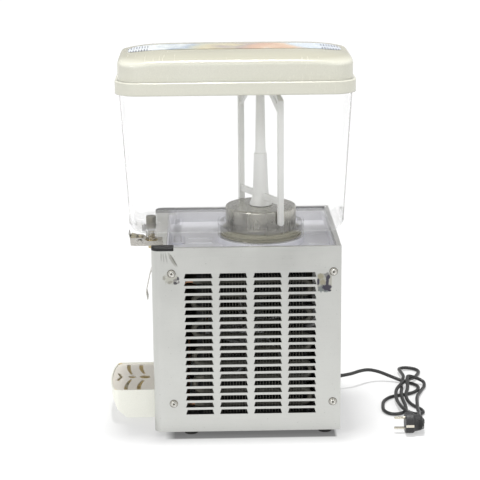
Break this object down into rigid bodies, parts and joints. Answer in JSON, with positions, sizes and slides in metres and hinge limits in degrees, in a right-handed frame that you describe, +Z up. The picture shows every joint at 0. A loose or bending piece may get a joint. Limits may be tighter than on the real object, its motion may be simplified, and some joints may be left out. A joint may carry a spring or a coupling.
{
  "type": "refrigerated drink dispenser",
  "caption": "Counter-top cold drink dispenser: clear lift-off tank with stirring paddle on a cooled drum, spring lever tap, drip tray, louvred cabinet and mains lead.",
  "frame": {"origin": "middle of the footprint of the machine without its cord, on the surface that it stands on", "axes": "+Z up, the tap and drip tray towards -Y, the machine's width along X"},
  "size_m": [0.3564, 0.5935, 0.6692],
  "materials": {
    "cream_plastic": "glossy moulded, slightly yellowed",
    "clear_plastic": "clear moulded polycarbonate",
    "panel_steel": "satin stainless sheet, scuffed",
    "pan_steel": "satin grey sheet",
    "inner_steel": "galvanised sheet",
    "stainless": "polished stainless",
    "screw_steel": "plated steel",
    "black_plastic": "matt moulded",
    "black_rubber": "matt rubber",
    "gasket_rubber": "soft food-grade rubber",
    "white_plastic": "food-grade moulded",
    "grid_plastic": "glossy moulded",
    "beige_plastic": "moulded finger pad",
    "brass": "turned",
    "copper": "drawn copper tube",
    "aluminium": "thin sheet",
    "compressor_paint": "gloss black enamel",
    "motor_steel": "zinc-plated",
    "magnet_black": "sintered magnet in steel",
    "cord_rubber": "round black sheath",
    "plug_plastic": "moulded-on plug",
    "pin_metal": "nickel-plated",
    "printed_card": "printed insert with an abstract pattern"
  },
  "bodies": {
    "base": {"base_plate": "inner_steel", "rubber_feet": "black_rubber", "left_panel": "panel_steel", "right_panel": "panel_steel", "column_caps": "black_plastic", "panel_screws": "screw_steel", "rear_posts": "inner_steel", "front_panel": "panel_steel", "rear_panel": "panel_steel", "top_pan": "pan_steel", "tank_rest": "white_plastic", "drum_seat": "pan_steel", "evaporator_drum": "stainless", "drum_spindle": "stainless", "drum_gasket": "gasket_rubber", "evaporator_coil": "copper", "stirrer_motor": "motor_steel", "motor_bracket": "inner_steel", "compressor": "compressor_paint", "compressor_mounts": "black_rubber", "condenser_tubes": "copper", "condenser_fins": "aluminium", "fan_shroud": "black_plastic", "fan_motor": "motor_steel", "fan_bracket": "inner_steel", "filter_drier": "copper", "drier_clip": "inner_steel", "refrigerant_pipes": "copper", "switch_frames": "black_plastic", "thermostat": "motor_steel", "terminal_block": "white_plastic", "cord_gland": "black_rubber", "cord_lead": "cord_rubber", "cord_tail": "cord_rubber", "cord_hank": "cord_rubber", "plug_body": "plug_plastic", "plug_pins": "pin_metal", "plug_earth": "pin_metal"},
    "fan": {"fan_blade": "aluminium"},
    "drive": {"drive_rotor": "magnet_black"},
    "knob": {"thermostat_knob": "black_plastic"},
    "power_switch": {"power_rocker": "black_plastic"},
    "cooling_switch": {"cooling_rocker": "black_plastic"},
    "tank": {"tank": "clear_plastic", "lever_pin": "stainless"},
    "lid": {"lid_shell": "cream_plastic", "lid_cover": "clear_plastic", "lid_picture": "printed_card"},
    "stirrer": {"paddle": "white_plastic", "paddle_magnet": "magnet_black"},
    "lever": {"tap_lever": "stainless", "lever_spacer": "brass", "lever_pad": "beige_plastic"},
    "valve": {"valve_tube": "brass", "valve_seal": "black_rubber", "valve_cap": "stainless", "valve_spring": "stainless"},
    "tray": {"drip_tray": "cream_plastic"},
    "grid": {"drip_grid": "grid_plastic"}
  },
  "joints": [
    {"name": "fan_spin", "type": "hinge", "parent": "base", "child": "fan", "pos_m": [0.079, 0.03725, 0.165], "axis": [1, 0, 0], "continuous": true},
    {"name": "drive_spin", "type": "hinge", "parent": "base", "child": "drive", "pos_m": [0, 0.05725, 0.3], "axis": [0, 0, 1], "continuous": true},
    {"name": "thermostat_turn", "type": "hinge", "parent": "base", "child": "knob", "pos_m": [0.095, 0.19225, 0.285], "axis": [0, 1, 0], "range_deg": [0, 270]},
    {"name": "power_tip", "type": "hinge", "parent": "base", "child": "power_switch", "pos_m": [0.045, 0.18595, 0.285], "axis": [1, 0, 0], "range_deg": [0, 16]},
    {"name": "cooling_tip", "type": "hinge", "parent": "base", "child": "cooling_switch", "pos_m": [0.015, 0.18595, 0.285], "axis": [1, 0, 0], "range_deg": [0, 16]},
    {"name": "tank_lift", "type": "slide", "parent": "base", "child": "tank", "axis": [0, 0, 1], "range_m": [0, 0.09]},
    {"name": "lid_lift", "type": "slide", "parent": "tank", "child": "lid", "axis": [0, 0, 1], "range_m": [0, 0.12]},
    {"name": "stirrer_spin", "type": "hinge", "parent": "tank", "child": "stirrer", "pos_m": [0, 0.05725, 0.4], "axis": [0, 0, 1], "continuous": true},
    {"name": "lever_pull", "type": "hinge", "parent": "tank", "child": "lever", "pos_m": [0, -0.15975, 0.32], "axis": [1, 0, 0], "range_deg": [0, 18], "stiffness_Nm_per_rad": 1.2, "springref_deg": -8.59},
    {"name": "valve_rise", "type": "slide", "parent": "tank", "child": "valve", "axis": [0, 0, 1], "range_m": [0, 0.0064], "deforming": ["valve_spring"]},
    {"name": "tray_slide", "type": "slide", "parent": "base", "child": "tray", "axis": [0, -1, 0], "range_m": [0, 0.08]},
    {"name": "grid_lift", "type": "slide", "parent": "tray", "child": "grid", "axis": [0, 0, 1], "range_m": [0, 0.06]}
  ],
  "couplings": [
    {"joint": "stirrer_spin", "follows": "drive_spin", "ratio": 1},
    {"joint": "valve_rise", "follows": "lever_pull", "m_per_rad": 0.0202}
  ]
}
